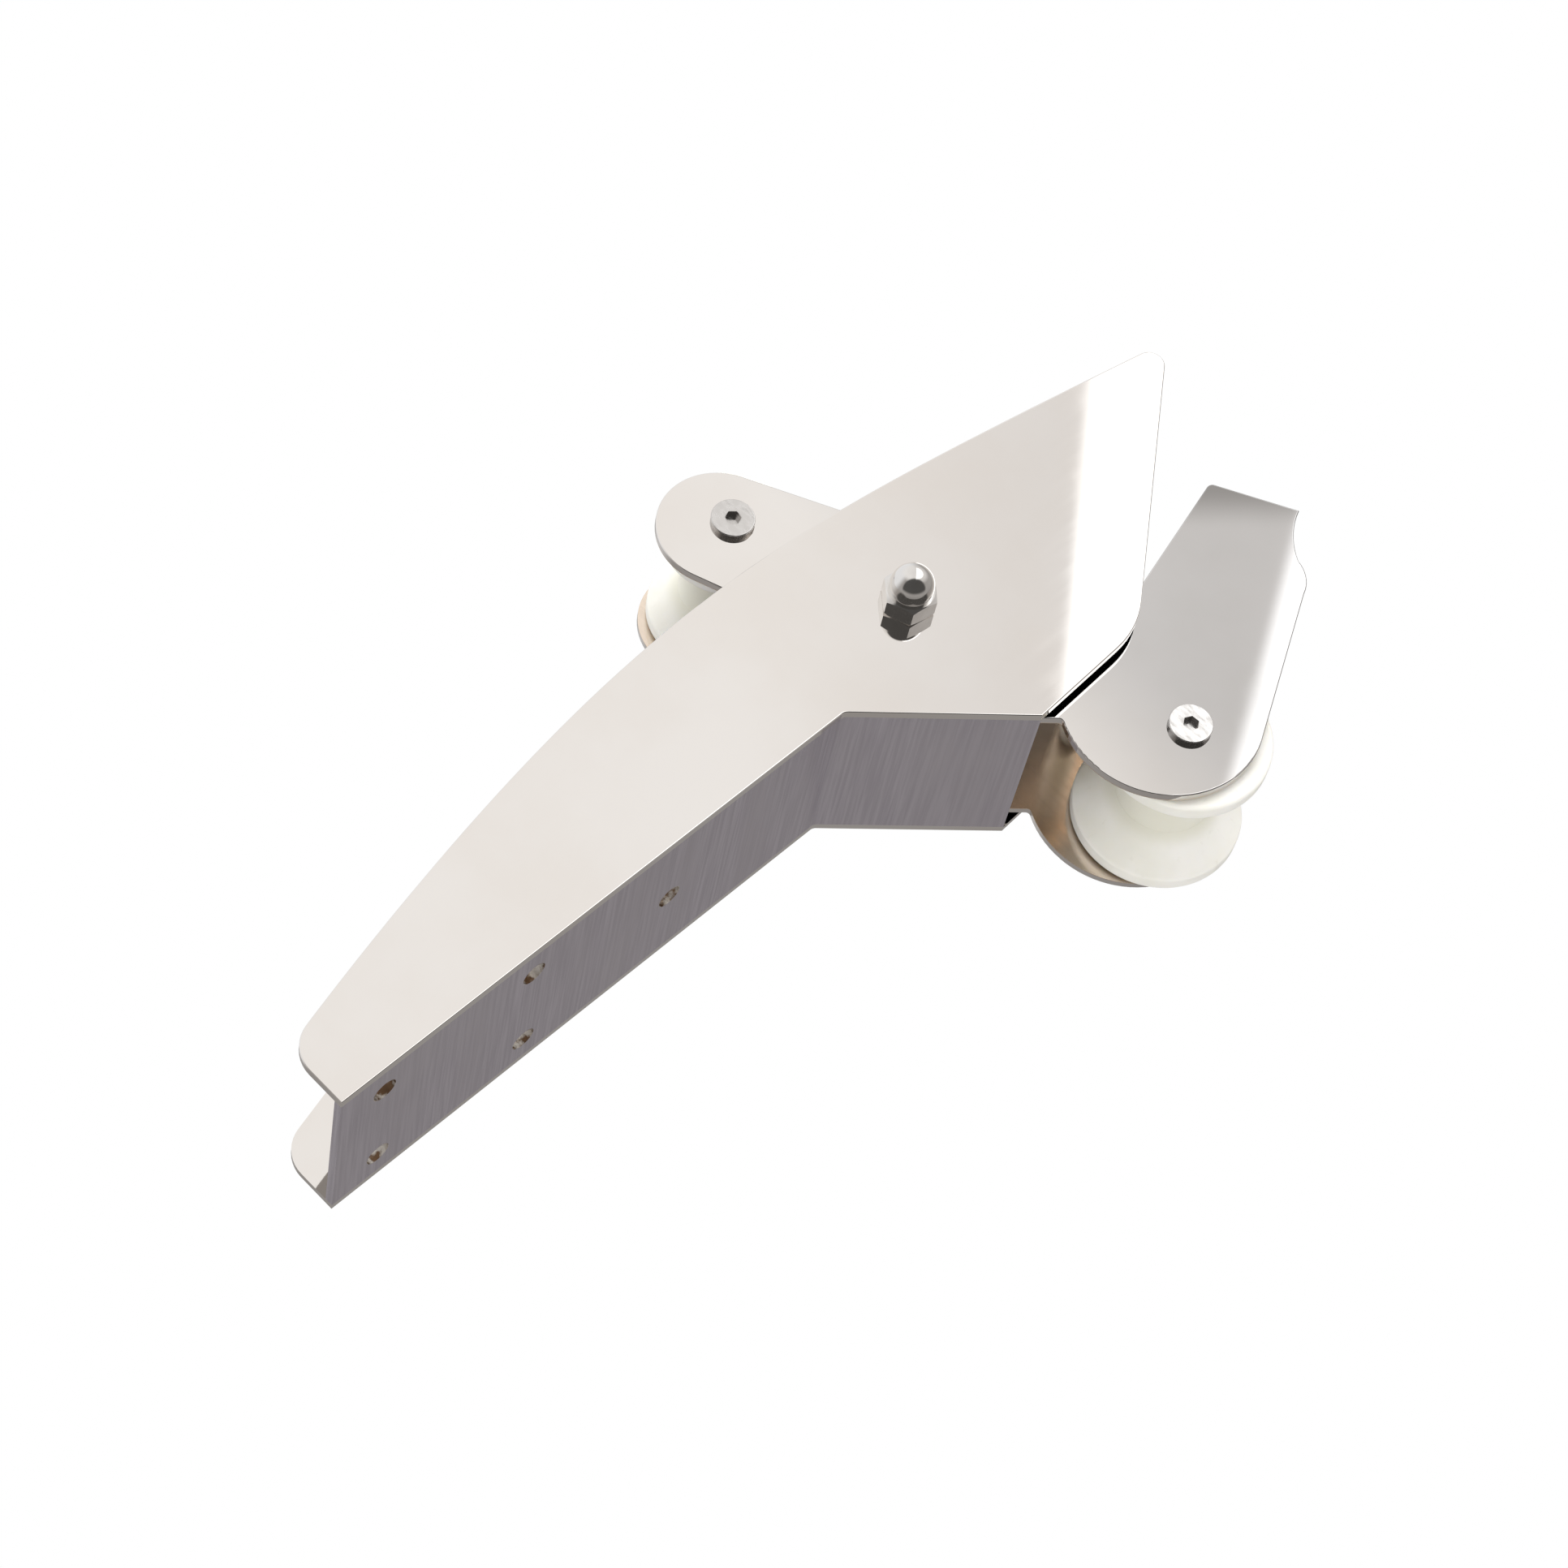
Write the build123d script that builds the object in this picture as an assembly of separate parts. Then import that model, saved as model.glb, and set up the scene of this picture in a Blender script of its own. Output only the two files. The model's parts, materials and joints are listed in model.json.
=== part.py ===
from build123d import *
import math
import os

os.makedirs("parts", exist_ok=True)

# Hinged self-launching anchor bow roller, in millimetres.
# +X points forward to the bow, +Y to port and +Z up.
# The origin is the centre of the four deck bolt holes, on the underside of the deck web.
# The rocker is drawn in its launched pose, resting on the nose of the channel.

# Channel
SHEET = 3.0
CHANNEL_WIDTH = 76.0
TAIL_X = -50.1
BEND_X = 168.1
NOSE_ANGLE = 41.0
NOSE_LENGTH = 66.0
WEB_BEND_R = 3.0
HOLE_R = 4.5
HOLE_PITCH_X = 63.0
HOLE_PITCH_Y = 45.0
LAST_HOLE_X = 94.1
SEAM_LEG = 3.0
EDGE_R = 0.5

# Cheek outline
TAIL_TOP_Z = 24.6
TAIL_CORNER_R = 13.0
RISE_X = 34.0
RISE_Z = 45.2
CREST_X = 172.0
CREST_Z = 61.0
FALL_X = 281.0
FALL_Z = 50.0
TIP_X = 364.5
TIP_Z = 35.2
TIP_R = 5.2
CHIN_X = 268.4
CHIN_Z = -40.5
CHIN_R = 35.0

# Pivot
PIVOT_X = 214.9
PIVOT_Z = 17.0
ROD_R = 5.0
ROD_HALF_LENGTH = 51.0
RUNNING_CLEARANCE = 0.06
CHEEK_HOLE_CLEARANCE = 0.2
NUT_ACROSS_FLATS = 17.0
NUT_HEX_HEIGHT = 8.0
NUT_HEIGHT = 18.0
NUT_DOME_R = 7.6
NUT_TURN = -10.0
WASHER_R = 10.5
FACE_GAP = 0.3

# Rocker, measured along (s) and across (n) the line from the rear axle to the front axle
ROCKER_WIDTH = 62.0
AXLE_PITCH = 168.3
AXLE_LINE_ANGLE = 68.6
PIVOT_S = 66.1
PIVOT_N = -5.7
REAR_END_S = -2.3
REAR_END_N = -3.9
REAR_END_R = 22.3
FRONT_EDGE_SLOPE = 6.7
FRONT_END_S = 159.0
FRONT_END_N = 2.1
FRONT_END_R = 33.3
LOWER_EDGE_SLOPE = 7.2
LOWER_EDGE_LENGTH = 63.5
EAR_ROOT_S = 131.8
EAR_ROOT_N = 34.2
EAR_ROOT_R = 15.0
EAR_BACK = (138.6, 96.0)
EAR_TIP = (170.5, 100.8)
EAR_WAIST = (173.2, 88.2)
EAR_TURN = (177.6, 81.0)
EAR_SHOULDER = (182.4, 76.0)
SEAT_GAP = 0.35
SEAT_OVERHANG = 8.5

# Rocker web
WEB_START_X = 241.9
WEB_START_Z = -36.6
WEB_SLOPE = 46.0
WEB_LENGTH = 58.0
WEB_CURVE_R = 18.0
WEB_LIP = 6.0
TUBE_R = 8.5

# Rollers, axle sleeves and screws
SLEEVE_R = 7.0
ROLLER_LENGTH = 54.0
RIM_WIDTH = 6.0
RIM_ROUNDING = 1.6
WAIST_HALF_LENGTH = 10.0
FRONT_RIM_R = 29.7
FRONT_WAIST_R = 17.0
REAR_RIM_R = 23.5
REAR_WAIST_R = 14.0
SCREW_R = 4.0
SCREW_LENGTH = 20.0
SCREW_HEAD_R = 7.6
SCREW_HEAD_PROUD = 2.2
SCREW_HEAD_RIM = 0.6
SOCKET_ACROSS_FLATS = 5.0
SOCKET_DEPTH = 2.6
REAR_SOCKET_TURN = 20.0
FRONT_SOCKET_TURN = 35.0

CHEEK_OUT = CHANNEL_WIDTH / 2
CHEEK_IN = CHEEK_OUT - SHEET
PLATE_OUT = ROCKER_WIDTH / 2
PLATE_IN = PLATE_OUT - SHEET

NOSE_COS = math.cos(math.radians(NOSE_ANGLE))
NOSE_SIN = math.sin(math.radians(NOSE_ANGLE))
NOSE_X = BEND_X + NOSE_LENGTH * NOSE_COS
NOSE_Z = -NOSE_LENGTH * NOSE_SIN
BEND_SHIFT = SHEET * math.tan(math.radians(NOSE_ANGLE / 2))
LINE_COS = math.cos(math.radians(AXLE_LINE_ANGLE))
LINE_SIN = math.sin(math.radians(AXLE_LINE_ANGLE))


def rocker_point(s, n):
    """X and Z of a point given along and across the rocker's axle line."""
    along = s - PIVOT_S
    across = n - PIVOT_N
    x = PIVOT_X + along * LINE_COS + across * LINE_SIN
    z = PIVOT_Z - along * LINE_SIN + across * LINE_COS
    return (x, z)


def seat_point(forward, lift):
    """X and Z of a point past the nose's top edge, along its slope and off its face."""
    x = NOSE_X + forward * NOSE_COS + (SHEET + lift) * NOSE_SIN
    z = NOSE_Z - forward * NOSE_SIN + (SHEET + lift) * NOSE_COS
    return (x, z)


def slab(face, y_low, y_high):
    """An outline drawn in X and Z, extruded from y_low to y_high."""
    return Pos(0, y_high, 0) * extrude(Plane.XZ * face, amount=y_high - y_low)


def rod(x, z, radius, y_low, y_high):
    """A round bar along Y."""
    return slab(Pos(x, z) * Circle(radius), y_low, y_high)


def turned(x, z, half_profile):
    """A body of revolution about a line along Y; the profile gives radius and Y."""
    face = make_face(Polyline(*half_profile, close=True))
    return Pos(x, 0, z) * revolve(face, Axis.Y)


def round_corner(face, point, radius):
    """Round the corner of an outline that lies nearest to a point."""
    corner = min(face.vertices(), key=lambda v: math.dist((v.X, v.Y), point))
    return fillet(corner, radius)


def soften(plate, y_face):
    """Break the outline edges of a plate on its face at y_face."""
    rim = plate.faces().sort_by(Axis.Y)[0 if y_face < 0 else -1].outer_wire()
    return fillet(rim.edges(), EDGE_R)


def save(shape, node):
    shape.label = node
    export_step(shape, f"parts/{node}.step")


# ---------------------------------------------------------------- channel

def cheek_outline():
    chin = (CHIN_X, CHIN_Z)
    tip = (TIP_X, TIP_Z)
    tail_top = (TAIL_X, TAIL_TOP_Z)
    rise = (RISE_X, RISE_Z)
    crest = (CREST_X, CREST_Z)
    fall = (FALL_X, FALL_Z)
    bend = (BEND_X, 0)
    sides = Polyline(tip, chin, (NOSE_X, NOSE_Z), bend, (TAIL_X, 0), tail_top)
    top = Spline(tail_top, rise, crest, fall, tip)
    face = make_face([*sides.edges(), top])
    face = round_corner(face, tail_top, TAIL_CORNER_R)
    face = round_corner(face, tip, TIP_R)
    face = round_corner(face, chin, CHIN_R)
    return round_corner(face, bend, WEB_BEND_R)


def starboard_cheek():
    plate = slab(cheek_outline(), -CHEEK_OUT, -CHEEK_IN)
    plate = soften(plate, -CHEEK_OUT)
    return plate - rod(PIVOT_X, PIVOT_Z, ROD_R + CHEEK_HOLE_CLEARANCE, -CHEEK_OUT, -CHEEK_IN)


def deck_web():
    under = [(TAIL_X, 0), (BEND_X, 0), (NOSE_X, NOSE_Z)]
    over = [seat_point(0, 0), (BEND_X + BEND_SHIFT, SHEET), (TAIL_X, SHEET)]
    face = make_face(Polyline(*under, *over, close=True))
    face = round_corner(face, (BEND_X, 0), WEB_BEND_R)
    face = round_corner(face, (BEND_X + BEND_SHIFT, SHEET), WEB_BEND_R + SHEET)
    web = slab(face, -CHEEK_IN, CHEEK_IN)
    places = [(x, y) for x in (-HOLE_PITCH_X / 2, HOLE_PITCH_X / 2) for y in (-HOLE_PITCH_Y / 2, HOLE_PITCH_Y / 2)]
    places.append((LAST_HOLE_X, 0))
    for x, y in places:
        web -= Pos(x, y, SHEET / 2) * Cylinder(HOLE_R, 2 * SHEET)
    return web


def starboard_seam():
    """Fillet bead along the inner corner of the channel."""
    end = seat_point(-2.0, 0)
    start = Vector(TAIL_X + 3.0, -CHEEK_IN, SHEET)
    path = Polyline(start, (BEND_X + BEND_SHIFT, -CHEEK_IN, SHEET), (end[0], -CHEEK_IN, end[1]))
    bead = Plane(origin=start, x_dir=(0, 1, 0), z_dir=(1, 0, 0)) * make_face(
        Polyline((0, 0), (SEAM_LEG, 0), (0, SEAM_LEG), close=True)
    )
    return sweep(bead, path=path, transition=Transition.RIGHT)


def pivot_rod():
    bar = rod(PIVOT_X, PIVOT_Z, ROD_R, -ROD_HALF_LENGTH, ROD_HALF_LENGTH)
    return chamfer(bar.edges().filter_by(GeomType.CIRCLE), 1.0)


def starboard_dome_nut():
    corner_r = NUT_ACROSS_FLATS / math.sqrt(3)
    flat_r = NUT_ACROSS_FLATS / 2
    inner = -CHEEK_OUT
    outer = inner - NUT_HEX_HEIGHT
    bevel = (corner_r - flat_r + 0.3) * math.tan(math.radians(30))
    hexagon = RegularPolygon(flat_r, 6, major_radius=False, rotation=NUT_TURN)
    body = slab(Pos(PIVOT_X, PIVOT_Z) * hexagon, outer, inner)
    body &= turned(
        PIVOT_X,
        PIVOT_Z,
        [
            (0, inner),
            (flat_r - 0.3, inner),
            (corner_r, inner - bevel),
            (corner_r, outer + bevel),
            (flat_r - 0.3, outer),
            (0, outer),
        ],
    )
    neck_y = inner - NUT_HEIGHT + NUT_DOME_R
    body += rod(PIVOT_X, PIVOT_Z, NUT_DOME_R, neck_y, outer)
    dome = Pos(PIVOT_X, neck_y, PIVOT_Z) * Sphere(NUT_DOME_R)
    body += dome & rod(PIVOT_X, PIVOT_Z, NUT_DOME_R + 1, neck_y - NUT_DOME_R, neck_y)
    return body - rod(PIVOT_X, PIVOT_Z, ROD_R, -ROD_HALF_LENGTH - 0.5, inner)


def starboard_pivot_washer():
    disc = rod(PIVOT_X, PIVOT_Z, WASHER_R, -CHEEK_IN, -PLATE_OUT - FACE_GAP)
    disc = chamfer(disc.edges().filter_by(GeomType.CIRCLE), 0.4)
    return disc - rod(PIVOT_X, PIVOT_Z, ROD_R + CHEEK_HOLE_CLEARANCE, -CHEEK_IN, -PLATE_OUT)


# ---------------------------------------------------------------- rocker

def plate_outline():
    slope = math.radians(FRONT_EDGE_SLOPE)
    lower = math.radians(LOWER_EDGE_SLOPE)
    back_n = REAR_END_N - REAR_END_R
    rear_back = rocker_point(REAR_END_S, back_n)
    rear_tip = rocker_point(REAR_END_S - REAR_END_R, REAR_END_N)
    rear_front = rocker_point(
        REAR_END_S - REAR_END_R * math.sin(slope), REAR_END_N + REAR_END_R * math.cos(slope)
    )
    ear_root = rocker_point(EAR_ROOT_S, EAR_ROOT_N)
    tangent_s = FRONT_END_S + FRONT_END_R * math.cos(lower)
    tangent_n = FRONT_END_N + FRONT_END_R * math.sin(lower)
    shoulder = rocker_point(
        tangent_s - LOWER_EDGE_LENGTH * math.sin(lower), tangent_n + LOWER_EDGE_LENGTH * math.cos(lower)
    )
    front_bottom = rocker_point(FRONT_END_S + FRONT_END_R * 0.3, FRONT_END_N - FRONT_END_R * 0.954)
    seat_front = seat_point(SEAT_OVERHANG, SEAT_GAP)
    seat_rise = math.radians(AXLE_LINE_ANGLE - NOSE_ANGLE)
    seat_front_s = PIVOT_S + (seat_front[0] - PIVOT_X) * LINE_COS - (seat_front[1] - PIVOT_Z) * LINE_SIN
    seat_front_n = PIVOT_N + (seat_front[0] - PIVOT_X) * LINE_SIN + (seat_front[1] - PIVOT_Z) * LINE_COS
    seat_back = rocker_point(seat_front_s - (seat_front_n - back_n) / math.tan(seat_rise), back_n)
    edges = [
        Line(seat_back, rear_back),
        ThreePointArc(rear_back, rear_tip, rear_front),
        Line(rear_front, ear_root),
        Line(ear_root, rocker_point(*EAR_BACK)),
        Line(rocker_point(*EAR_BACK), rocker_point(*EAR_TIP)),
        ThreePointArc(rocker_point(*EAR_TIP), rocker_point(*EAR_WAIST), rocker_point(*EAR_TURN)),
        ThreePointArc(rocker_point(*EAR_TURN), rocker_point(*EAR_SHOULDER), shoulder),
        Line(shoulder, rocker_point(tangent_s, tangent_n)),
        ThreePointArc(rocker_point(tangent_s, tangent_n), front_bottom, seat_front),
        Line(seat_front, seat_back),
    ]
    face = make_face(edges)
    face = round_corner(face, ear_root, EAR_ROOT_R)
    face = round_corner(face, rocker_point(*EAR_BACK), 2.5)
    face = round_corner(face, seat_back, 8.0)
    return round_corner(face, seat_front, 1.5)


def countersink(x, z, spare):
    """The cone under a screw head, from the plate's inner face outwards."""
    head_y = -PLATE_OUT - SCREW_HEAD_PROUD + SCREW_HEAD_RIM
    grip_y = head_y + SCREW_HEAD_R - SCREW_R
    return turned(
        x, z, [(0, head_y - spare), (SCREW_HEAD_R + spare, head_y - spare), (SCREW_R + spare, grip_y), (0, grip_y)]
    )


def starboard_rocker_plate():
    plate = slab(plate_outline(), -PLATE_OUT, -PLATE_IN)
    plate = soften(plate, -PLATE_OUT)
    plate -= rod(PIVOT_X, PIVOT_Z, ROD_R + RUNNING_CLEARANCE, -PLATE_OUT, -PLATE_IN)
    for s in (0, AXLE_PITCH):
        x, z = rocker_point(s, 0)
        plate -= rod(x, z, SCREW_R + 0.05, -PLATE_OUT, -PLATE_IN)
        plate -= countersink(x, z, 0.05)
    return plate


def rocker_web():
    """Bent plate between the rocker plates: a straight back, then a curve over the front roller."""
    slope = math.radians(WEB_SLOPE)
    start = (WEB_START_X, WEB_START_Z)
    top = (start[0] - WEB_LENGTH * math.cos(slope), start[1] + WEB_LENGTH * math.sin(slope))
    centre = (start[0] + WEB_CURVE_R * math.sin(slope), start[1] + WEB_CURVE_R * math.cos(slope))
    inner_r = WEB_CURVE_R - SHEET

    def on_curve(radius, angle):
        return (centre[0] - radius * math.sin(angle), centre[1] - radius * math.cos(angle))

    lip_under = (centre[0] + WEB_LIP, centre[1] - WEB_CURVE_R)
    lip_over = (centre[0] + WEB_LIP, centre[1] - inner_r)
    top_over = (top[0] + SHEET * math.sin(slope), top[1] + SHEET * math.cos(slope))
    edges = [
        Line(top, on_curve(WEB_CURVE_R, slope)),
        ThreePointArc(on_curve(WEB_CURVE_R, slope), on_curve(WEB_CURVE_R, slope / 2), on_curve(WEB_CURVE_R, 0)),
        Line(on_curve(WEB_CURVE_R, 0), lip_under),
        Line(lip_under, lip_over),
        Line(lip_over, on_curve(inner_r, 0)),
        ThreePointArc(on_curve(inner_r, 0), on_curve(inner_r, slope / 2), on_curve(inner_r, slope)),
        Line(on_curve(inner_r, slope), top_over),
        Line(top_over, top),
    ]
    return slab(make_face(edges), -PLATE_IN, PLATE_IN)


def pivot_tube():
    bore_r = ROD_R + RUNNING_CLEARANCE
    tube = rod(PIVOT_X, PIVOT_Z, TUBE_R, -PLATE_IN, PLATE_IN)
    return tube - rod(PIVOT_X, PIVOT_Z, bore_r, -PLATE_IN, PLATE_IN)


def axle_sleeve(s):
    """Round bar between the rocker plates, tapped at both ends for the screws."""
    x, z = rocker_point(s, 0)
    thread_end = PLATE_OUT + SCREW_HEAD_PROUD - SCREW_LENGTH - 1.0
    bar = rod(x, z, SLEEVE_R, -PLATE_IN, PLATE_IN)
    bar -= rod(x, z, SCREW_R, thread_end, PLATE_IN)
    return bar - rod(x, z, SCREW_R, -PLATE_IN, -thread_end)


def starboard_screw(s, socket_turn):
    x, z = rocker_point(s, 0)
    top_y = -PLATE_OUT - SCREW_HEAD_PROUD
    screw = rod(x, z, SCREW_R, top_y + 1.0, top_y + SCREW_LENGTH)
    screw += countersink(x, z, 0)
    rim = rod(x, z, SCREW_HEAD_R, top_y, top_y + SCREW_HEAD_RIM)
    screw += fillet(rim.edges().filter_by(GeomType.CIRCLE).sort_by(Axis.Y)[0], 0.35)
    socket = RegularPolygon(SOCKET_ACROSS_FLATS / 2, 6, major_radius=False, rotation=socket_turn)
    return screw - slab(Pos(x, z) * socket, top_y, top_y + SOCKET_DEPTH)


def roller(s, rim_r, waist_r):
    """Spool with a straight waist, conical flanks and narrow rims."""
    x, z = rocker_point(s, 0)
    half = ROLLER_LENGTH / 2
    flank = half - RIM_WIDTH
    profile = [
        (SLEEVE_R + RUNNING_CLEARANCE, -half),
        (rim_r, -half),
        (rim_r, -flank),
        (waist_r, -WAIST_HALF_LENGTH),
        (waist_r, WAIST_HALF_LENGTH),
        (rim_r, flank),
        (rim_r, half),
        (SLEEVE_R + RUNNING_CLEARANCE, half),
    ]
    spool = turned(x, z, profile)
    circles = spool.edges().filter_by(GeomType.CIRCLE)
    outer = [edge for edge in circles if abs(edge.radius - rim_r) < 0.01]
    return fillet(outer, RIM_ROUNDING)


# ---------------------------------------------------------------- nodes

for name, make in (
    ("cheek", starboard_cheek),
    ("seam_weld", starboard_seam),
    ("dome_nut", starboard_dome_nut),
    ("pivot_washer", starboard_pivot_washer),
    ("rocker_plate", starboard_rocker_plate),
):
    piece = make()
    save(piece, "starboard_" + name)
    save(mirror(piece, about=Plane.XZ), "port_" + name)

for place, along, turn in (("rear", 0, REAR_SOCKET_TURN), ("front", AXLE_PITCH, FRONT_SOCKET_TURN)):
    piece = starboard_screw(along, turn)
    save(piece, place + "_starboard_screw")
    save(mirror(piece, about=Plane.XZ), place + "_port_screw")
    save(axle_sleeve(along), place + "_axle_sleeve")

save(deck_web(), "deck_web")
save(pivot_rod(), "pivot_rod")
save(rocker_web(), "rocker_web")
save(pivot_tube(), "pivot_tube")
save(roller(0, REAR_RIM_R, REAR_WAIST_R), "rear_roller")
save(roller(AXLE_PITCH, FRONT_RIM_R, FRONT_WAIST_R), "front_roller")
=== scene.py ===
import json
import math
import random

import bmesh
import bpy
from mathutils import Matrix, Vector


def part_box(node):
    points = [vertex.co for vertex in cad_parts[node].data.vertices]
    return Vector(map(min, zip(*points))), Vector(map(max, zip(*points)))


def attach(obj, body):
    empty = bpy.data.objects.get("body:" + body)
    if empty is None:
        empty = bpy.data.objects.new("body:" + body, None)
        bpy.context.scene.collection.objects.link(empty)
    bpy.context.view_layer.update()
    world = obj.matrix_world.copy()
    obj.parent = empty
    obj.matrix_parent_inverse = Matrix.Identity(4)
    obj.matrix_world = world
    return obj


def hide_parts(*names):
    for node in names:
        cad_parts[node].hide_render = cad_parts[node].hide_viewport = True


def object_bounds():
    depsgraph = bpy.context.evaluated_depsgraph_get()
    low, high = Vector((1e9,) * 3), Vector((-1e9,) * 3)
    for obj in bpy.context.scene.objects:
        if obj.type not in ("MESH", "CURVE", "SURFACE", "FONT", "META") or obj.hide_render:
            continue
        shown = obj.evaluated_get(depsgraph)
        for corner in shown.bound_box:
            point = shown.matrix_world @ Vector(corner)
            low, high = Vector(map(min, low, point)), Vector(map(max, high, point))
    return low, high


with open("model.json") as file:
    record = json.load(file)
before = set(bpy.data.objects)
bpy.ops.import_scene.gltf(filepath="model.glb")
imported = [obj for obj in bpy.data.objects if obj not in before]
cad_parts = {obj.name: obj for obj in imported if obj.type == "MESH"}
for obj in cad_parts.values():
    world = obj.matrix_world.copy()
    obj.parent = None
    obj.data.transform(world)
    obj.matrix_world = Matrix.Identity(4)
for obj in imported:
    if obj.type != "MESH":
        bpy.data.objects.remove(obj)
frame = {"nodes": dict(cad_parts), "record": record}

CAD_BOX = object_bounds()
NODES = frame["nodes"]

# Metres and the CAD's frame throughout: +X forward to the bow, +Y to port, +Z up off the deck.
MM = 0.001
NOSE_ANGLE = math.radians(41.0)
WEB_LOW, WEB_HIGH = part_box("deck_web")
NUT_LOW, NUT_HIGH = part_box("starboard_dome_nut")

# Holes through the deck web: the four deck bolts about the origin, and one more ahead of them.
BOLTS = next(m for m in frame["record"]["mounts"] if m["name"] == "deck_bolts")["dims"]
HOLE_X = BOLTS["spacing_x_mm"] / 2 * MM
HOLE_Y = BOLTS["spacing_y_mm"] / 2 * MM
HOLE_R = BOLTS["hole_r_mm"] * MM
LAST_HOLE = next(m for m in frame["record"]["mounts"] if m["name"] == "forward_deck_bolt")["pos_m"]


def middle(node):
    low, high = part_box(node)
    return (low + high) / 2


# ---------------------------------------------------------------- camera

CAMERA_PLACE = Vector((-0.4644, -1.1887, -0.3957))
CAMERA_LOOK = Vector((0.44165, 0.84992, 0.28735)).normalized()
CAMERA_UP = Vector((0.55243, -0.50998, 0.65935))
CAMERA_RIGHT = CAMERA_LOOK.cross(CAMERA_UP).normalized()
CAMERA_LENS = 96.3
SENSOR = 36.0


def make_camera():
    data = bpy.data.cameras.new("camera")
    data.lens = CAMERA_LENS
    data.sensor_width = SENSOR
    data.clip_start = 0.05
    data.clip_end = 50.0
    camera = bpy.data.objects.new("camera", data)
    bpy.context.scene.collection.objects.link(camera)
    up = CAMERA_RIGHT.cross(CAMERA_LOOK)
    turn = Matrix((CAMERA_RIGHT, up, -CAMERA_LOOK)).transposed()
    camera.matrix_world = Matrix.Translation(CAMERA_PLACE) @ turn.to_4x4()
    bpy.context.scene.camera = camera


# ---------------------------------------------------------------- node graphs


class Graph:
    """Short ways to add nodes to a material's or the world's tree. Values may be sockets or constants."""

    def __init__(self, tree):
        self.tree = tree

    def node(self, kind, inputs=(), **settings):
        node = self.tree.nodes.new("ShaderNode" + kind)
        for name, value in settings.items():
            setattr(node, name, value)
        for key, value in dict(inputs).items():
            self.set(node.inputs[key], value)
        return node

    def set(self, socket, value):
        if isinstance(value, bpy.types.NodeSocket):
            self.tree.links.new(value, socket)
        else:
            socket.default_value = value

    def math(self, operation, a, b=0.0):
        return self.node("Math", {0: a, 1: b}, operation=operation).outputs[0]

    def vector(self, operation, a, b):
        return self.node("VectorMath", {0: a, 1: b}, operation=operation)

    def dot(self, a, direction):
        return self.vector("DOT_PRODUCT", a, direction).outputs["Value"]

    def fade(self, value, start, end, low=0.0, high=1.0):
        """Goes smoothly from low to high as value goes from start to end."""
        if start > end:
            start, end, low, high = end, start, high, low
        sockets = {"Value": value, "From Min": start, "From Max": end, "To Min": low, "To Max": high}
        return self.node("MapRange", sockets, interpolation_type="SMOOTHSTEP").outputs["Result"]

    def mix(self, factor, a, b):
        node = self.node("Mix", data_type="RGBA")
        self.set(node.inputs["Factor"], factor)
        colour_a, colour_b = [s for s in node.inputs if s.type == "RGBA"]
        self.set(colour_a, a if isinstance(a, bpy.types.NodeSocket) else (*a, 1.0))
        self.set(colour_b, b if isinstance(b, bpy.types.NodeSocket) else (*b, 1.0))
        return next(s for s in node.outputs if s.type == "RGBA")


class Surface(Graph):
    """A Principled material built from noise, bands and bumps in the object's own metres."""

    def __init__(self, name, metallic, **sockets):
        self.material = bpy.data.materials.new(name)
        self.material.use_nodes = True
        super().__init__(self.material.node_tree)
        self.shader = self.tree.nodes["Principled BSDF"]
        self.shader.inputs["Metallic"].default_value = metallic
        for key, value in sockets.items():
            self.shader.inputs[key.replace("_", " ")].default_value = value
        self.place = self.node("TexCoord").outputs["Object"]
        self.normal = None

    def noise(self, size, stretch=(1.0, 1.0, 1.0), detail=3.0, offset=0.0):
        """Noise with features about size metres across, drawn out by stretch along each axis."""
        scale = tuple(0.5 / (size * s) for s in stretch)
        where = self.vector("MULTIPLY", self.place, scale).outputs["Vector"]
        where = self.vector("ADD", where, (offset, offset, offset)).outputs["Vector"]
        sockets = {"Vector": where, "Scale": 1.0, "Detail": detail, "Roughness": 0.55}
        return self.node("TexNoise", sockets).outputs["Fac"]

    def specks(self, spacing, radius, stretch=(1.0, 1.0, 1.0), share=0.3):
        """Sparse marks: 1 inside a mark and 0 elsewhere; share is how many cells hold one."""
        scale = tuple(1.0 / (spacing * s) for s in stretch)
        where = self.vector("MULTIPLY", self.place, scale).outputs["Vector"]
        cell = self.node("TexVoronoi", {"Vector": where, "Scale": 1.0, "Randomness": 1.0})
        near = self.fade(cell.outputs["Distance"], radius / spacing, 0.4 * radius / spacing)
        pick = self.node("SeparateColor", {0: cell.outputs["Color"]}).outputs[0]
        return self.math("MULTIPLY", near, self.math("LESS_THAN", pick, share))

    def rings(self, along, scale):
        """Noise that varies with one value only."""
        return self.node("TexNoise", {"W": along, "Scale": scale}, noise_dimensions="1D").outputs["Fac"]

    def axis_distance(self, centre):
        """Distance from a line along Y through a point."""
        offset = self.vector("SUBTRACT", self.place, tuple(centre)).outputs["Vector"]
        flat = self.vector("MULTIPLY", offset, (1.0, 0.0, 1.0)).outputs["Vector"]
        return self.node("VectorMath", {0: flat}, operation="LENGTH").outputs["Value"]

    def bump(self, height, metres, strength=1.0):
        """Adds relief; metres is the height that a value of 1 stands for."""
        sockets = {"Height": height, "Distance": metres, "Strength": strength}
        if self.normal:
            sockets["Normal"] = self.normal
        self.normal = self.node("Bump", sockets).outputs["Normal"]
        self.set(self.shader.inputs["Normal"], self.normal)

    def colour(self, value):
        self.set(self.shader.inputs["Base Color"], value)

    def roughness(self, value):
        self.set(self.shader.inputs["Roughness"], value)


# ---------------------------------------------------------------- floor, world and light

FLOOR_DROP = 0.55
FLOOR_SIZE = 9.0

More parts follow.
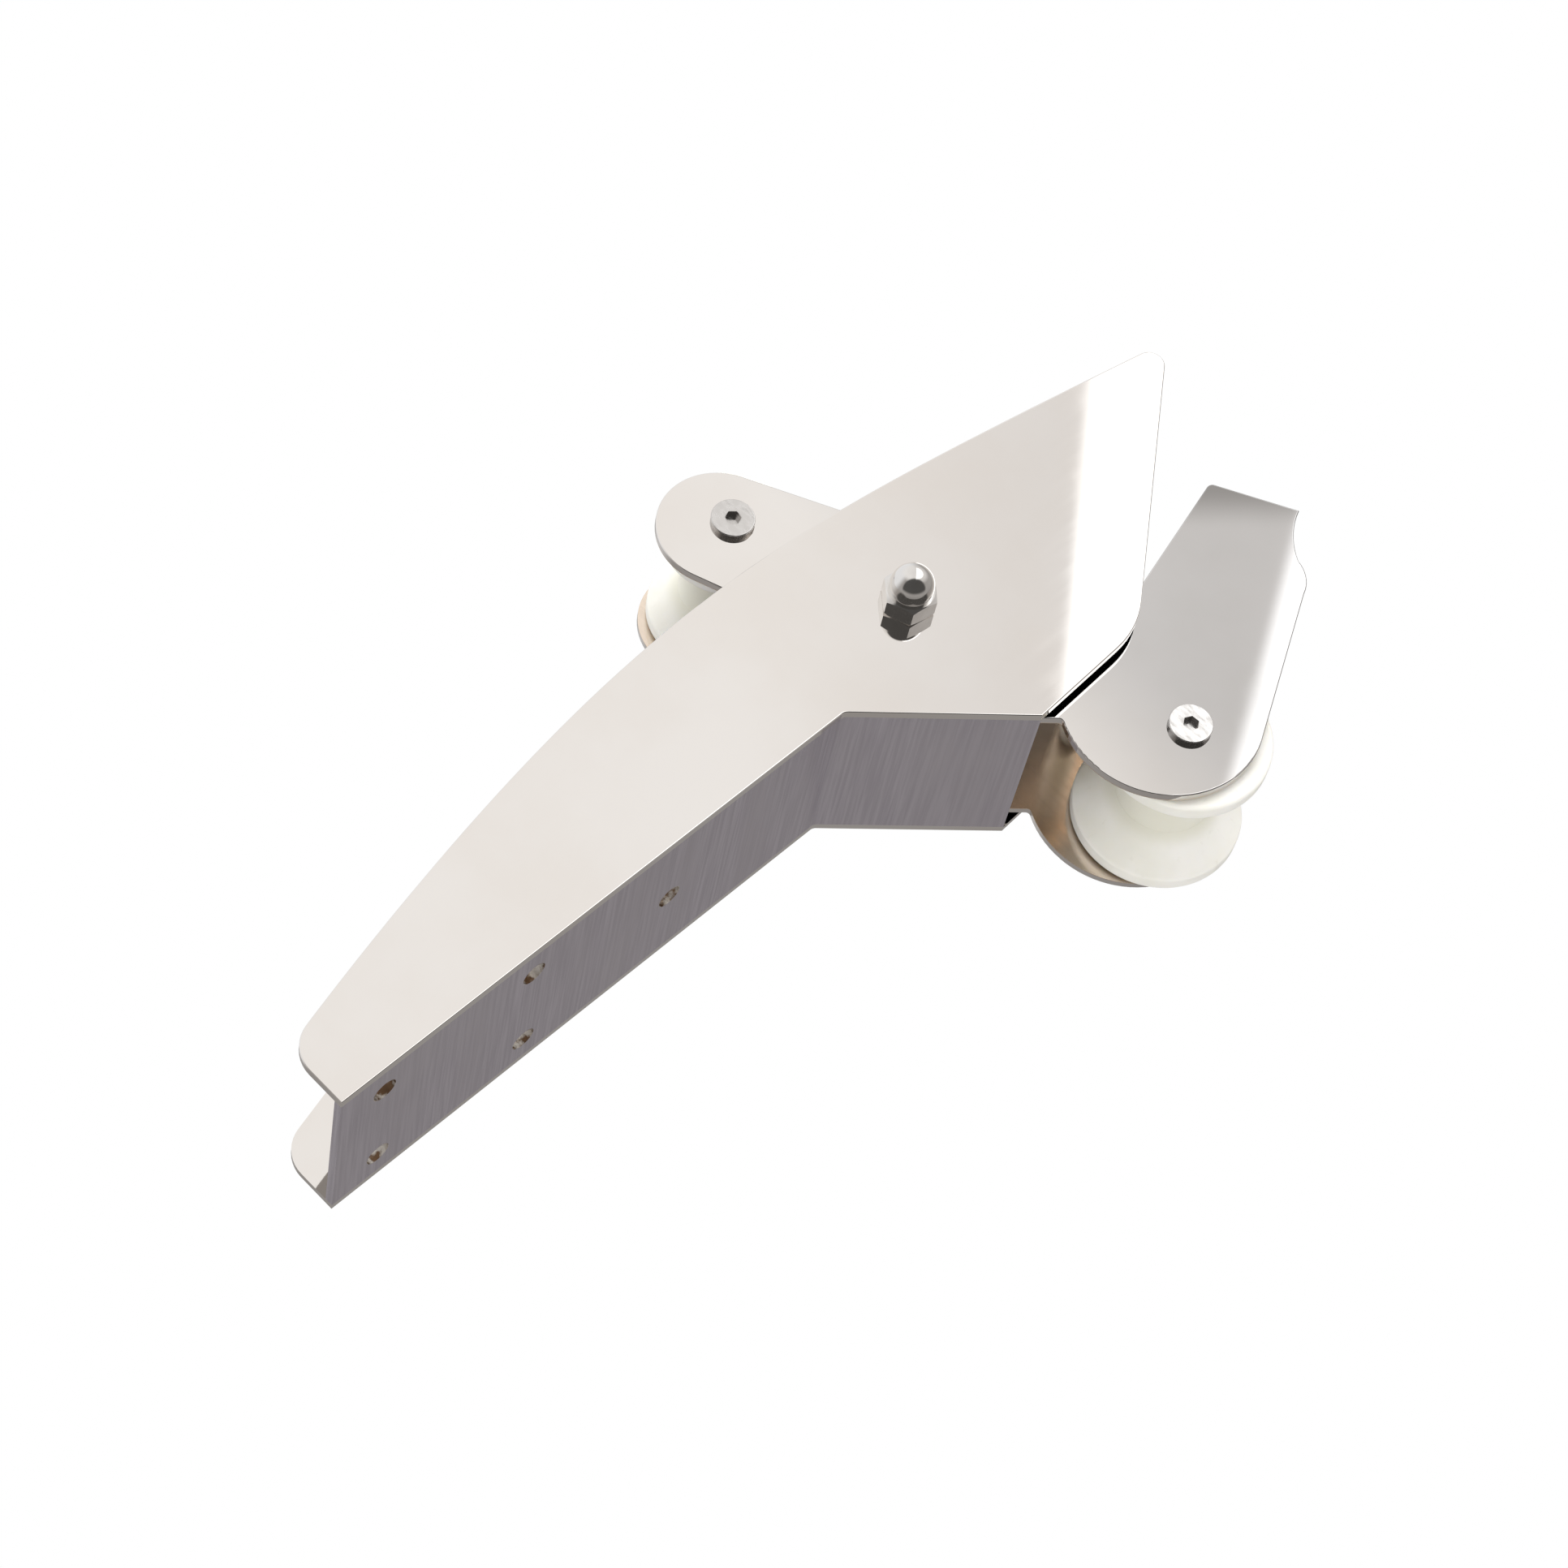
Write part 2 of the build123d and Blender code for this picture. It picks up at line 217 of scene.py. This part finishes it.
# The studio as the polished sides see it: mirrored() is the way a camera ray leaves a side sheet.
SOFTBOX_TURN = 0.0651
SOFTBOX_LEAN = 0.0856
TENT = (0.965, 0.945, 0.925)
TENT_FAR = (0.83, 0.805, 0.785)
SKY = (0.92, 0.92, 0.93)
ROOM = (0.42, 0.40, 0.385)
BENCH = (0.31, 0.295, 0.285)
SHADE = (0.09, 0.087, 0.084)
SOFTBOX = (1.85, 1.85, 1.85)


def mirrored(direction):
    return Vector((direction.x, -direction.y, direction.z))


def make_world():
    """White behind the object; for light and reflections, a soft tent to starboard and a dim room to port."""
    world = bpy.data.worlds.new("studio")
    bpy.context.scene.world = world
    world.use_nodes = True
    graph = Graph(world.node_tree)
    background = world.node_tree.nodes["Background"]
    ray = graph.node("TexCoord").outputs["Generated"]
    tent_axis = mirrored(CAMERA_LOOK)
    tent_right = mirrored(CAMERA_RIGHT)
    tent_up = mirrored(CAMERA_UP.normalized())
    across = graph.dot(ray, tuple(tent_right))
    facing = graph.dot(ray, tuple(tent_axis))
    edge = graph.dot(ray, tuple(tent_right - SOFTBOX_LEAN * tent_up - SOFTBOX_TURN * tent_axis))
    upward = graph.dot(ray, (0.0, 0.0, 1.0))
    port = graph.dot(ray, (0.0, 1.0, 0.0))
    low = graph.dot(ray, tuple(-tent_up))

    colour = graph.mix(graph.fade(port, -0.1, 0.45), ROOM, BENCH)
    colour = graph.mix(graph.fade(upward, 0.35, 0.8), colour, SKY)
    tent = graph.mix(graph.fade(across, -0.02, 0.075), TENT, TENT_FAR)
    colour = graph.mix(graph.fade(facing, 0.45, 0.8), colour, tent)
    shade = graph.math("MULTIPLY", graph.fade(low, 0.45, 0.6), graph.fade(port, 0.0, -0.3))
    colour = graph.mix(shade, colour, SHADE)
    softbox = graph.math("MULTIPLY", graph.fade(edge, -0.0025, 0.0025), graph.fade(facing, 0.8, 0.87))
    colour = graph.mix(softbox, colour, SOFTBOX)
    seen = graph.node("LightPath").outputs["Is Camera Ray"]
    graph.set(background.inputs["Color"], graph.mix(seen, colour, (1.0, 1.0, 1.0)))
    background.inputs["Strength"].default_value = 1.0


def make_floor():
    mesh = bpy.data.meshes.new("floor")
    form = bmesh.new()
    bmesh.ops.create_grid(form, x_segments=8, y_segments=8, size=FLOOR_SIZE / 2)
    form.to_mesh(mesh)
    form.free()
    floor = bpy.data.objects.new("floor", mesh)
    floor.location = (0.15, 0.0, -FLOOR_DROP)
    bpy.context.scene.collection.objects.link(floor)
    floor.visible_glossy = False
    surface = Surface("floor_paper", 0.0)
    grain = surface.noise(0.004)
    surface.colour(surface.mix(grain, (0.83, 0.825, 0.815), (0.87, 0.865, 0.855)))
    surface.roughness(surface.fade(grain, 0.3, 0.7, 0.65, 0.8))
    surface.bump(grain, 0.0001)
    mesh.materials.append(surface.material)


def area_light(name, place, aim, size, power):
    data = bpy.data.lights.new(name, "AREA")
    data.shape = "DISK"
    data.size = size
    data.energy = power
    light = bpy.data.objects.new(name, data)
    light.location = place
    light.rotation_euler = (Vector(aim) - Vector(place)).to_track_quat("-Z", "Y").to_euler()
    light.visible_glossy = False
    bpy.context.scene.collection.objects.link(light)


def make_studio():
    bpy.context.scene.view_settings.view_transform = "Standard"
    make_world()
    make_floor()
    centre = (CAD_BOX[0] + CAD_BOX[1]) / 2
    area_light("key_light", centre + 1.3 * mirrored(CAMERA_LOOK), centre, 1.0, 9.0)
    area_light("top_light", centre + Vector((-0.2, 0.2, 1.4)), centre, 1.0, 5.0)
    area_light("fill_light", centre + Vector((-1.1, -0.6, 0.2)), centre, 0.7, 6.0)


# ---------------------------------------------------------------- steel

STEEL_LIGHT = (0.86, 0.835, 0.81)
STEEL_WARM = (0.83, 0.795, 0.76)


MIRROR_SMOOTH = 0.02
MIRROR_WORN = 0.055
CLOUD_CLEAR = 0.5
CLOUD_THICK = 0.72


def polish(surface, sheet=2.0e-5):
    """Relief of a mirror polish: a sheet that isn't quite flat, hairlines from the mop, and pinholes."""
    waves = surface.noise(0.05, detail=1.0)
    hair = surface.noise(0.0009, stretch=(24.0, 1.0, 2.5), detail=2.0)
    cloud = surface.noise(0.035, detail=4.0, offset=7.3)
    pins = surface.specks(0.03, 0.0006, share=0.35)
    surface.bump(waves, sheet)
    surface.bump(hair, 1.0e-7)
    surface.bump(surface.math("MULTIPLY", pins, -1.0), 4.0e-5)
    return cloud, hair, pins


def sheen(surface, cloud, hair, pins, smooth=MIRROR_SMOOTH, worn=MIRROR_WORN):
    """Roughness of a polish: hazier where it has been handled, along the hairlines and in pinholes."""
    hazy = surface.fade(cloud, CLOUD_CLEAR, CLOUD_THICK, smooth, worn)
    hazy = surface.math("ADD", hazy, surface.fade(hair, 0.35, 0.75, 0.0, 0.012))
    surface.roughness(surface.math("ADD", hazy, surface.math("MULTIPLY", pins, 0.3)))


def cheek_steel():
    surface = Surface("cheek_steel", 1.0)
    cloud, hair, pins = polish(surface)
    sheen(surface, cloud, hair, pins)
    tint = surface.mix(surface.fade(cloud, 0.35, 0.7), STEEL_LIGHT, STEEL_WARM)
    surface.colour(surface.mix(pins, tint, (0.35, 0.33, 0.31)))
    return surface.material


# How far the rocker plates' reflections lean out of line, how that grows along them, and about where;
# where their inner faces end; and how far along them the painted shade on their ears runs.
PLATE_LEAN = 0.0195
PLATE_TWIST = 0.053
PLATE_ALONG = (0.643, 0.0, 0.767)
PLATE_MIDDLE = Vector((0.2951, 0.0, -0.074))
PLATE_INSIDE_Y = 0.0283
PLATE_OUTSIDE_Y = 0.0285
EAR_PAINTED_SHADE_FROM = 0.186
EAR_PAINTED_SHADE_TO = 0.204


def rocker_plate_steel():
    """Polished outside, greyer forward, and painted shade at the ear in place of a dark reflection; satin and
    warm inside.

    The sheet is flat: only its shading normals lean, by a degree or so.
    """
    surface = Surface("rocker_plate_steel", 1.0)
    offset = surface.vector("SUBTRACT", surface.place, tuple(PLATE_MIDDLE)).outputs["Vector"]
    along = surface.math("MULTIPLY", surface.dot(offset, PLATE_ALONG), PLATE_TWIST)
    slope = surface.math("ADD", along, PLATE_LEAN)
    lean = surface.math("MULTIPLY", slope, surface.dot(offset, (1.0, 0.0, -1.0)))
    surface.bump(lean, 1.0)
    cloud, _, pins = polish(surface, sheet=1.5e-5)
    axes = surface.node("SeparateXYZ", {0: surface.place}).outputs
    tint = surface.mix(surface.fade(cloud, 0.35, 0.7), STEEL_LIGHT, STEEL_WARM)
    grey = surface.mix(surface.fade(cloud, 0.35, 0.7), (0.665, 0.655, 0.65), (0.62, 0.61, 0.60))
    tint = surface.mix(surface.fade(axes["X"], 0.21, 0.27), tint, grey)
    # Painted shade: a dark patch on the ear, forward of x 0.27 m, in place of a dark reflection.
    reach = surface.dot(surface.place, PLATE_ALONG)
    shade = surface.fade(reach, EAR_PAINTED_SHADE_FROM, EAR_PAINTED_SHADE_TO)
    shade = surface.math("MULTIPLY", shade, surface.fade(axes["X"], 0.27, 0.30))
    tint = surface.mix(shade, tint, (0.36, 0.35, 0.34))
    inside = surface.fade(surface.math("ABSOLUTE", axes["Y"]), PLATE_OUTSIDE_Y, PLATE_INSIDE_Y)
    brushed = surface.noise(0.0008, stretch=(1.0, 1.0, 18.0), detail=3.0, offset=9.0)
    satin = surface.mix(surface.fade(brushed, 0.3, 0.7), (0.90, 0.78, 0.66), (0.85, 0.735, 0.62))
    tint = surface.mix(inside, tint, satin)
    surface.colour(surface.mix(pins, tint, (0.3, 0.28, 0.26)))
    hazy = surface.fade(cloud, CLOUD_CLEAR, CLOUD_THICK, MIRROR_SMOOTH, MIRROR_WORN)
    dull = surface.math("MULTIPLY", inside, surface.fade(brushed, 0.3, 0.7, 0.12, 0.19))
    surface.roughness(surface.math("ADD", hazy, dull))
    return surface.material


def rocker_web_steel():
    surface = Surface("rocker_web_steel", 1.0)
    cloud, hair, pins = polish(surface, sheet=4.0e-5)
    sheen(surface, cloud, hair, pins, smooth=0.16, worn=0.28)
    tint = surface.mix(surface.fade(cloud, 0.35, 0.7), (0.97, 0.89, 0.81), (0.90, 0.82, 0.75))
    surface.colour(surface.mix(pins, tint, (0.3, 0.28, 0.26)))
    return surface.material


def hole_rim(surface):
    """1 in and close around the deck bolt holes."""
    centred = surface.vector("MULTIPLY", surface.place, (1.0, 1.0, 0.0)).outputs["Vector"]
    folded = surface.node("VectorMath", {0: centred}, operation="ABSOLUTE").outputs["Vector"]
    four = surface.vector("DISTANCE", folded, (HOLE_X, HOLE_Y, 0.0)).outputs["Value"]
    one = surface.vector("DISTANCE", centred, (LAST_HOLE[0], LAST_HOLE[1], 0.0)).outputs["Value"]
    nearest = surface.math("MINIMUM", four, one)
    return surface.fade(nearest, HOLE_R * 1.05, HOLE_R * 1.01)


def deck_web_steel():
    """Satin sheet, brushed across its width, with nicks along the grain and grime in the bolt holes."""
    surface = Surface("deck_web_steel", 1.0)
    grain = surface.noise(0.0006, stretch=(1.0, 40.0, 1.0), detail=4.0)
    bands = surface.noise(0.009, stretch=(1.0, 12.0, 1.0), detail=3.0, offset=3.1)
    cloud = surface.noise(0.04, detail=3.0, offset=11.0)
    nicks = surface.specks(0.012, 0.00035, stretch=(1.0, 2.6, 1.0), share=0.16)
    tint = surface.mix(surface.fade(grain, 0.3, 0.7), (0.63, 0.60, 0.67), (0.80, 0.77, 0.84))
    tint = surface.mix(surface.fade(bands, 0.35, 0.7, 0.0, 0.5), tint, (0.68, 0.65, 0.70))
    tint = surface.mix(surface.fade(cloud, 0.45, 0.7, 0.0, 0.35), tint, (0.78, 0.755, 0.80))
    tint = surface.mix(surface.math("MULTIPLY", nicks, 0.75), tint, (0.16, 0.13, 0.12))
    grime = surface.noise(0.0022, detail=3.0, offset=5.0)
    dirt = surface.mix(surface.fade(grime, 0.42, 0.58), (0.24, 0.15, 0.09), (0.86, 0.83, 0.78))
    surface.colour(surface.mix(hole_rim(surface), tint, dirt))
    surface.roughness(surface.fade(grain, 0.25, 0.75, 0.36, 0.5))
    surface.bump(cloud, 3.0e-5)
    surface.bump(grain, 3.5e-6)
    surface.bump(surface.math("MULTIPLY", nicks, -1.0), 6.0e-5)
    return surface.material


def weld_steel():
    """Brushed-off bead: bright steel with patches of straw and blue heat tint."""
    surface = Surface("weld_steel", 1.0)
    cloud = surface.noise(0.004, detail=4.0)
    fine = surface.noise(0.0006, detail=2.0, offset=2.0)
    tint = surface.mix(surface.fade(cloud, 0.35, 0.6), (0.72, 0.70, 0.68), (0.62, 0.53, 0.40))
    tint = surface.mix(surface.fade(cloud, 0.62, 0.75, 0.0, 0.6), tint, (0.36, 0.38, 0.46))
    surface.colour(tint)
    surface.roughness(surface.fade(fine, 0.3, 0.7, 0.24, 0.46))
    surface.bump(fine, 4.0e-5)
    return surface.material


def pivot_hardware():
    """Bright plated-looking stainless, with faint turning rings and small dark pits."""
    surface = Surface("pivot_hardware", 1.0)
    radius = surface.axis_distance((NUT_LOW + NUT_HIGH) / 2)
    rings = surface.rings(radius, 2500.0)
    cloud = surface.noise(0.006, detail=3.0)
    pins = surface.specks(0.004, 0.00018, share=0.2)
    tint = surface.mix(surface.fade(cloud, 0.4, 0.7), (0.80, 0.785, 0.765), (0.70, 0.68, 0.66))
    surface.colour(surface.mix(pins, tint, (0.25, 0.24, 0.23)))
    surface.roughness(surface.fade(cloud, 0.35, 0.7, 0.05, 0.13))
    surface.bump(rings, 1.5e-6)
    surface.bump(cloud, 2.0e-5)
    return surface.material


def turned_steel():
    """Turned bar: fine rings along its length."""
    surface = Surface("turned_steel", 1.0)
    across = surface.node("SeparateXYZ", {0: surface.place}).outputs["Y"]
    rings = surface.rings(across, 2200.0)
    cloud = surface.noise(0.008, detail=3.0)
    surface.colour(surface.mix(surface.fade(cloud, 0.35, 0.7), (0.72, 0.70, 0.68), (0.60, 0.575, 0.55)))
    surface.roughness(surface.fade(rings, 0.3, 0.7, 0.16, 0.3))
    surface.bump(rings, 4.0e-6)
    return surface.material


def screw_steel(node):
    """Screw with faced rings on its head, scuffed by the hexagon key, and with painted shade in its hex
    socket.
    """
    surface = Surface(node + "_steel", 1.0)
    radius = surface.axis_distance(middle(node))
    rings = surface.rings(radius, 3000.0)
    scuffs = surface.noise(0.0008, stretch=(1.0, 1.0, 3.0), detail=4.0)
    worn = surface.fade(scuffs, 0.5, 0.72)
    tint = surface.mix(worn, (0.66, 0.645, 0.63), (0.50, 0.485, 0.47))
    # Painted shade: the colour darkens by a quarter inside the hex socket.
    surface.colour(surface.mix(surface.fade(radius, 0.0031, 0.0026, 0.0, 0.25), tint, (0.34, 0.32, 0.30)))
    surface.roughness(surface.fade(scuffs, 0.35, 0.7, 0.12, 0.34))
    surface.bump(rings, 3.0e-6)
    surface.bump(scuffs, 1.2e-5)
    return surface.material


# ---------------------------------------------------------------- plastics

NYLON_LIGHT = (0.86, 0.85, 0.815)
NYLON_SHADE = (0.80, 0.79, 0.72)
NYLON_DEEP = (0.70, 0.69, 0.585)


def roller_plastic(node, waist_r):
    """Turned white nylon: faint tool rings, a milky depth, and darker, yellower colour down in the waist."""
    surface = Surface(node + "_plastic", 0.0, Subsurface_Weight=0.25, Subsurface_Scale=0.004)
    surface.shader.inputs["Subsurface Radius"].default_value = (1.0, 0.85, 0.65)
    radius = surface.axis_distance(middle(node))
    rings = surface.rings(radius, 1400.0)
    wide_rings = surface.rings(radius, 260.0)
    cloud = surface.noise(0.012, detail=3.0)
    scuffs = surface.noise(0.0015, stretch=(1.0, 5.0, 1.0), detail=4.0, offset=4.0)
    tint = surface.mix(surface.fade(cloud, 0.3, 0.7), NYLON_LIGHT, NYLON_SHADE)
    tint = surface.mix(surface.fade(radius, waist_r + 0.005, waist_r, 0.0, 0.75), tint, NYLON_DEEP)
    tint = surface.mix(surface.fade(scuffs, 0.62, 0.78, 0.0, 0.35), tint, (0.66, 0.64, 0.58))
    surface.colour(tint)
    surface.roughness(surface.fade(rings, 0.3, 0.7, 0.30, 0.46))
    surface.bump(wide_rings, 6.0e-5)
    surface.bump(rings, 8.0e-6)
    return surface.material


def washer_plastic():
    surface = Surface("washer_plastic", 0.0)
    cloud = surface.noise(0.002, detail=3.0)
    surface.colour(surface.mix(cloud, (0.82, 0.81, 0.76), (0.72, 0.71, 0.65)))
    surface.roughness(surface.fade(cloud, 0.3, 0.7, 0.4, 0.6))
    surface.bump(cloud, 2.0e-5)
    return surface.material


# ---------------------------------------------------------------- added pieces

BEAD_R = 2.5 * MM
RIPPLE = 1.7 * MM
BEAD_STEP = 0.35 * MM
BEAD_SIDES = 12
BEAD_INSET = 0.4 * MM
RIPPLE_DEPTH = 0.16
SWELL_KEPT = 0.94
SWELL_STEP = 0.02
END_SIZE = 0.35
END_GROWTH = 0.12


def bead_path():
    """Points along the corner between the deck web and a cheek, seen from the side."""
    low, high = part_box("starboard_seam_weld")
    sheet = WEB_HIGH.z
    back = sheet * math.sin(NOSE_ANGLE)
    bend = WEB_HIGH.x - back + WEB_LOW.z / math.tan(NOSE_ANGLE)
    bend_top = bend + sheet * math.tan(NOSE_ANGLE / 2)
    start = Vector((low.x, 0.0, sheet))
    corner = Vector((bend_top, 0.0, sheet))
    slope = Vector((math.cos(NOSE_ANGLE), 0.0, -math.sin(NOSE_ANGLE)))
    length = (high.x - back - bend_top) / math.cos(NOSE_ANGLE)
    return start, corner, corner + slope * length


def sweep_bead(name, points, seed):
    """A rippled weld bead: each ring swells and shrinks as the puddles overlap, and drifts a little."""
    chance = random.Random(seed)
    centres = []
    for first, last in zip(points, points[1:]):
        steps = max(1, round((last - first).length / BEAD_STEP))
        centres += [first.lerp(last, i / steps) for i in range(steps)]
    centres.append(points[-1])
    form = bmesh.new()
    rings = []
    travelled = 0.0
    swell = 0.0
    for i, centre in enumerate(centres):
        behind = centres[max(0, i - 1)]
        ahead = centres[min(len(centres) - 1, i + 1)]
        along = (ahead - behind).normalized()
        side = Vector((0.0, 1.0, 0.0))
        up = along.cross(side).normalized()
        travelled += (centre - behind).length
        swell = SWELL_KEPT * swell + chance.uniform(-SWELL_STEP, SWELL_STEP)
        phase = (travelled / RIPPLE) % 1.0
        crest = 1.0 - RIPPLE_DEPTH * phase
        end = min(1.0, END_SIZE + min(i, len(centres) - 1 - i) * END_GROWTH)
        radius = BEAD_R * (crest + swell) * end
        ring = []
        for k in range(BEAD_SIDES):
            angle = 2 * math.pi * k / BEAD_SIDES
            ring.append(form.verts.new(centre + radius * (math.cos(angle) * side + math.sin(angle) * up)))
        rings.append(ring)
    for a, b in zip(rings, rings[1:]):
        for k in range(BEAD_SIDES):
            j = (k + 1) % BEAD_SIDES
            form.faces.new((a[k], a[j], b[j], b[k]))
    form.faces.new(rings[0][::-1])
    form.faces.new(rings[-1])
    bmesh.ops.recalc_face_normals(form, faces=form.faces)
    for face in form.faces:
        face.smooth = True
    mesh = bpy.data.meshes.new(name)
    form.to_mesh(mesh)
    form.free()
    piece = bpy.data.objects.new(name, mesh)
    bpy.context.scene.collection.objects.link(piece)
    return piece


def add_seam_beads(material):
    """Weld beads in the two inner corners of the channel, in place of the plain CAD fillets."""
    for seed, side in enumerate(("starboard", "port")):
        node = side + "_seam_weld"
        low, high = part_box(node)
        corner_y = low.y + BEAD_INSET if side == "starboard" else high.y - BEAD_INSET
        points = [p + Vector((0.0, corner_y, BEAD_INSET)) for p in bead_path()]
        bead = sweep_bead(side + "_seam_bead", points, seed)
        bead.data.materials.append(material)
        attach(bead, "channel")
        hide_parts(node)


# ---------------------------------------------------------------- dressing the CAD nodes


def dress(material, *nodes):
    for node in nodes:
        for slot in NODES[node].material_slots:
            slot.material = material


def both(name):
    return "starboard_" + name, "port_" + name


make_camera()
make_studio()

dress(cheek_steel(), *both("cheek"))
dress(deck_web_steel(), "deck_web")
dress(rocker_plate_steel(), *both("rocker_plate"))
dress(rocker_web_steel(), "rocker_web")
dress(pivot_hardware(), "pivot_rod", *both("dome_nut"))
dress(washer_plastic(), *both("pivot_washer"))
dress(turned_steel(), "pivot_tube", "rear_axle_sleeve", "front_axle_sleeve")
for place in ("rear", "front"):
    for side in ("starboard", "port"):
        screw = f"{place}_{side}_screw"
        dress(screw_steel(screw), screw)
dress(roller_plastic("rear_roller", 0.014), "rear_roller")
dress(roller_plastic("front_roller", 0.017), "front_roller")

WELD = weld_steel()
dress(WELD, *both("seam_weld"))
add_seam_beads(WELD)
